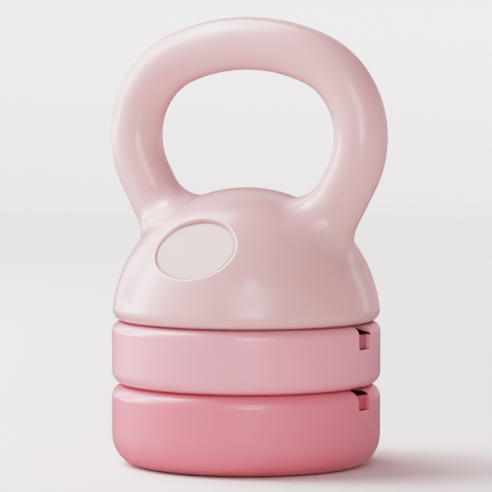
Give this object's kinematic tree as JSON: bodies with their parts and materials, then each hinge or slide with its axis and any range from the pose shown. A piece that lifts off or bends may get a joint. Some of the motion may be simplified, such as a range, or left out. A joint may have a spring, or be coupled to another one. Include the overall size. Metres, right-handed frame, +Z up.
{
  "type": "adjustable kettlebell",
  "caption": "Stacking kettlebell: a dome with a loop handle on round weight plates that screw on below it and lock with push-button latches in their rims.",
  "frame": {"origin": "centre of the footprint on the floor, under the axis of the plates", "axes": "+Z up; the handle loop lies in the XZ plane; the badge faces -Y; the latches face +X"},
  "size_m": [0.1842, 0.16, 0.2658],
  "materials": {
    "blush_plastic": "satin moulded, very pale pink",
    "pink_plastic": "satin moulded, mid pink",
    "rose_plastic": "satin moulded, rose pink",
    "badge_plastic": "smooth, pale grey, blank",
    "hub_nylon": "matt moulded, off-white",
    "cement_filling": "rough cast, grey",
    "steel": "bright zinc plated",
    "spring_steel": "rolled strip, blued dark",
    "rubber": "matt black"
  },
  "bodies": {
    "lower_plate": {"lower_plate_shell": "rose_plastic", "lower_plate_hub": "hub_nylon", "lower_hub_screws": "steel", "lower_plate_ballast": "cement_filling", "lower_base_cover": "rose_plastic", "lower_cover_screws": "steel", "foot_ring": "rubber", "lower_latch_spring": "spring_steel", "lower_latch_screw": "steel"},
    "lower_latch_button": {"lower_latch_button": "rose_plastic"},
    "lower_friction_ring": {"lower_friction_ring": "rubber"},
    "upper_plate": {"upper_plate_shell": "pink_plastic", "upper_plate_hub": "hub_nylon", "upper_hub_screws": "steel", "upper_plate_ballast": "cement_filling", "upper_base_cover": "pink_plastic", "upper_cover_screws": "steel", "upper_latch_spring": "spring_steel", "upper_latch_screw": "steel"},
    "upper_latch_button": {"upper_latch_button": "pink_plastic"},
    "upper_friction_ring": {"upper_friction_ring": "rubber"},
    "bell": {"bell_shell": "blush_plastic", "badge_plate": "badge_plastic", "bell_ballast": "cement_filling", "bell_base_cover": "blush_plastic", "bell_cover_screws": "steel"}
  },
  "joints": [
    {"name": "upper_plate_turn", "type": "hinge", "parent": "lower_plate", "child": "lower_friction_ring", "pos_m": [0, 0, 0.061], "axis": [0, 0, 1], "range_deg": [0, 150]},
    {"name": "upper_plate_rise", "type": "slide", "parent": "lower_friction_ring", "child": "upper_plate", "axis": [0, 0, 1], "range_m": [0, 0.01501]},
    {"name": "bell_turn", "type": "hinge", "parent": "upper_plate", "child": "upper_friction_ring", "pos_m": [0, 0, 0.0984], "axis": [0, 0, 1], "range_deg": [0, 150]},
    {"name": "bell_rise", "type": "slide", "parent": "upper_friction_ring", "child": "bell", "axis": [0, 0, 1], "range_m": [0, 0.01501]},
    {"name": "lower_latch_press", "type": "slide", "parent": "lower_plate", "child": "lower_latch_button", "axis": [-1, 0, 0], "range_m": [0, 0.0025], "stiffness_N_per_m": 2000, "springref_m": -0.001, "deforming": ["lower_latch_spring"]},
    {"name": "upper_latch_press", "type": "slide", "parent": "upper_plate", "child": "upper_latch_button", "axis": [-1, 0, 0], "range_m": [0, 0.0025], "stiffness_N_per_m": 2000, "springref_m": -0.001, "deforming": ["upper_latch_spring"]}
  ],
  "couplings": [
    {"joint": "upper_plate_rise", "follows": "upper_plate_turn", "m_per_rad": 0.0057296},
    {"joint": "bell_rise", "follows": "bell_turn", "m_per_rad": 0.0057296}
  ]
}
